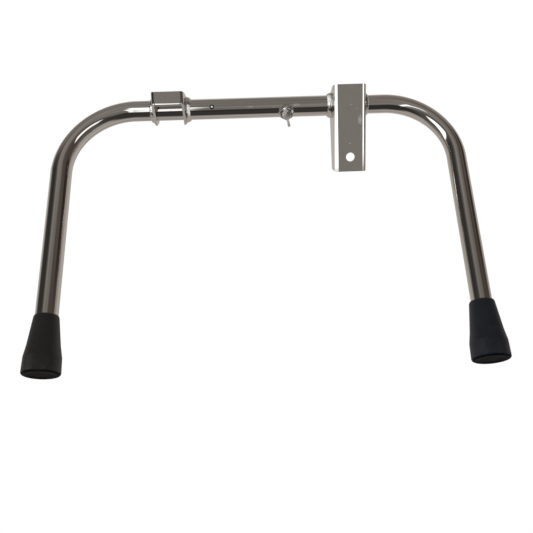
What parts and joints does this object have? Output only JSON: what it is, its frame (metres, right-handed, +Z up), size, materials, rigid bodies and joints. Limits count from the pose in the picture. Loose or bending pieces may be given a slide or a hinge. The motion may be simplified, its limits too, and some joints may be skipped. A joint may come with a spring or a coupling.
{
  "type": "toilet safety frame leg assembly",
  "caption": "Chromed bent-tube leg frame with a telescoping bar, pressed channel sockets, a clamping wing screw and flared rubber feet.",
  "frame": {"origin": "on the floor, midway between the two legs, centred on the object's front-to-back extent", "axes": "+X along the bar towards the telescoping leg, +Z up along the legs, -Y the side that the channel brackets face"},
  "size_m": [0.5294, 0.0854, 0.3568],
  "materials": {
    "outer_tube_chrome": "bright chrome plate",
    "inner_tube_chrome": "bright chrome plate",
    "bracket_chrome": "chrome plate on pressed steel, slightly scuffed",
    "weld_chrome": "chrome plate over a rippled weld",
    "nut_steel": "plated steel, dulled by weld heat",
    "screw_steel": "zinc plated, cast surface",
    "rivet_steel": "bright dome",
    "ferrule_rubber": "black moulded rubber, light scuffs at the base",
    "washer_steel": "plain steel"
  },
  "bodies": {
    "outer_leg": {"outer_leg_tube": "outer_tube_chrome", "socket_channel": "bracket_chrome", "saddle_bracket": "bracket_chrome", "socket_weld_inboard": "weld_chrome", "socket_weld_outboard": "weld_chrome", "saddle_weld_inboard": "weld_chrome", "saddle_weld_outboard": "weld_chrome", "clamp_nut": "nut_steel", "clamp_nut_weld": "nut_steel", "stop_rivet": "rivet_steel", "left_ferrule": "ferrule_rubber", "left_washer": "washer_steel"},
    "inner_leg": {"inner_leg_tube": "inner_tube_chrome", "right_ferrule": "ferrule_rubber", "right_washer": "washer_steel"},
    "clamp": {"wing_screw": "screw_steel"}
  },
  "joints": [
    {"name": "width_slide", "type": "slide", "parent": "outer_leg", "child": "inner_leg", "axis": [1, 0, 0], "range_m": [-0.018, 0.06]},
    {"name": "clamp_turn", "type": "hinge", "parent": "outer_leg", "child": "clamp", "pos_m": [0.036, -0.00845, 0.32187], "axis": [0, -0.4226, -0.9063], "range_deg": [0, 720]}
  ]
}
